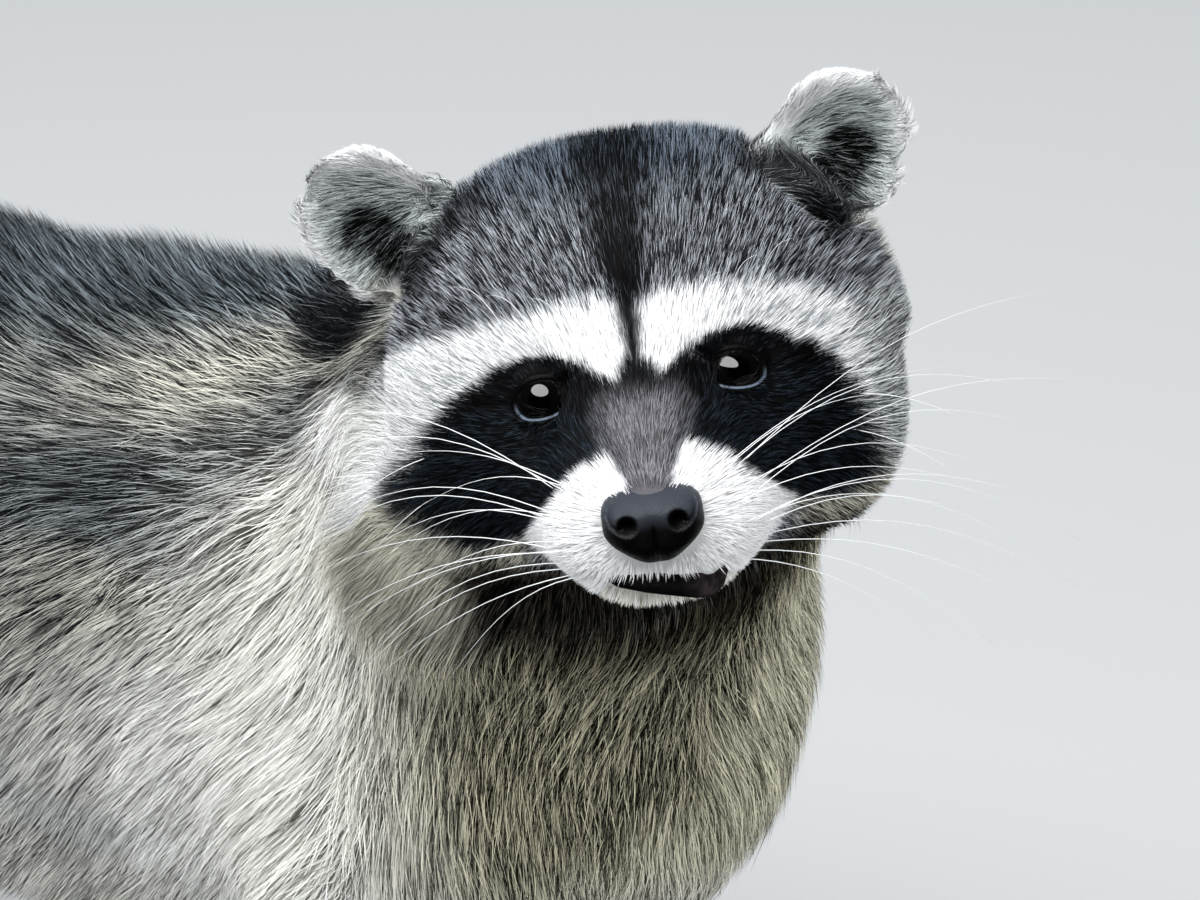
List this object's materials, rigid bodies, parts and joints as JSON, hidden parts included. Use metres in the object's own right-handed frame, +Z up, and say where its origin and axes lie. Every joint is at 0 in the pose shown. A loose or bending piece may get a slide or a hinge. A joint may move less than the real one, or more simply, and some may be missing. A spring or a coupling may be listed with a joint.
{
  "type": "raccoon model",
  "caption": "Life-size standing raccoon with a masked face, rounded ears, a ringed tail and its head turned to its right.",
  "frame": {"origin": "on the floor, under the middle of the whole animal's bounding box", "axes": "+X is the way the body faces, +Y is the animal's left and +Z is up; the head is turned about 50 degrees to its right"},
  "size_m": [0.7192, 0.208, 0.3588],
  "materials": {
    "coat": "long grizzled fur, each hair banded dark and pale",
    "pale_coat": "short pale fur of the muzzle, chin and ears",
    "dark_coat": "black fur of the tail's tip",
    "eye": "wet, very dark brown eye",
    "nose": "moist pebbled skin",
    "claw": "dull dark horn"
  },
  "bodies": {
    "root": {"trunk": "coat", "neck": "coat", "head": "coat", "muzzle": "pale_coat", "lower_jaw": "pale_coat", "ear_left": "pale_coat", "ear_right": "pale_coat", "eye_left": "eye", "eye_right": "eye", "nose": "nose", "tail_base": "coat", "tail_middle": "coat", "tail_tip": "dark_coat", "front_leg_left": "coat", "front_leg_right": "coat", "front_paw_left": "coat", "front_paw_right": "coat", "hind_leg_left": "coat", "hind_leg_right": "coat", "hind_foot_left": "coat", "hind_foot_right": "coat", "front_claw_left_1": "claw", "front_claw_left_2": "claw", "front_claw_left_3": "claw", "front_claw_left_4": "claw", "front_claw_left_5": "claw", "front_claw_right_1": "claw", "front_claw_right_2": "claw", "front_claw_right_3": "claw", "front_claw_right_4": "claw", "front_claw_right_5": "claw", "hind_claw_left_1": "claw", "hind_claw_left_2": "claw", "hind_claw_left_3": "claw", "hind_claw_left_4": "claw", "hind_claw_left_5": "claw", "hind_claw_right_1": "claw", "hind_claw_right_2": "claw", "hind_claw_right_3": "claw", "hind_claw_right_4": "claw", "hind_claw_right_5": "claw"}
  },
  "joints": []
}
